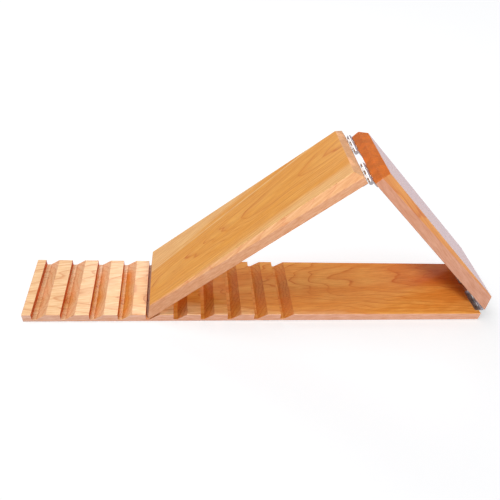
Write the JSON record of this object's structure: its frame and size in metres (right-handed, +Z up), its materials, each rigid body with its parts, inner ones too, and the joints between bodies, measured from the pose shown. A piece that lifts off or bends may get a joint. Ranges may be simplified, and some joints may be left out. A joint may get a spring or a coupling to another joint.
{
  "type": "slant board",
  "caption": "Folding wooden slant board: a notched base board with a hinged support panel and a platform panel whose toe stands in a ratchet notch.",
  "frame": {"origin": "centre of the base board's underside", "axes": "+X along the base towards its hinges, +Y across the board, +Z up"},
  "size_m": [0.911, 0.158, 0.3257],
  "materials": {
    "base_wood": "clear gloss varnish",
    "panel_wood": "clear gloss varnish",
    "hinge_steel": "zinc-plated pressed steel",
    "screw_steel": "zinc-plated"
  },
  "bodies": {
    "base": {"base_board": "base_wood", "base_hinge_back_base_leaf": "hinge_steel", "base_hinge_back_base_screws": "screw_steel", "base_hinge_back_pin": "hinge_steel", "base_hinge_front_base_leaf": "hinge_steel", "base_hinge_front_base_screws": "screw_steel", "base_hinge_front_pin": "hinge_steel"},
    "support": {"base_hinge_back_support_leaf": "hinge_steel", "base_hinge_back_support_screws": "screw_steel", "base_hinge_front_support_leaf": "hinge_steel", "base_hinge_front_support_screws": "screw_steel", "support_panel": "panel_wood", "top_hinge_back_pin": "hinge_steel", "top_hinge_back_support_leaf": "hinge_steel", "top_hinge_back_support_screws": "screw_steel", "top_hinge_front_pin": "hinge_steel", "top_hinge_front_support_leaf": "hinge_steel", "top_hinge_front_support_screws": "screw_steel"},
    "platform": {"platform_panel": "panel_wood", "top_hinge_back_platform_leaf": "hinge_steel", "top_hinge_back_platform_screws": "screw_steel", "top_hinge_front_platform_leaf": "hinge_steel", "top_hinge_front_platform_screws": "screw_steel"}
  },
  "joints": [
    {"name": "support_hinge", "type": "hinge", "parent": "base", "child": "support", "pos_m": [0.4546, 0, 0.0213], "axis": [0, 1, 0], "range_deg": [0, 121]},
    {"name": "platform_hinge", "type": "hinge", "parent": "support", "child": "platform", "pos_m": [0.13733, 0, 0.31184], "axis": [0, 1, 0], "range_deg": [0, 83.4]}
  ],
  "couplings": [
    {"joint": "platform_hinge", "follows": "support_hinge", "ratio": 0.689}
  ]
}
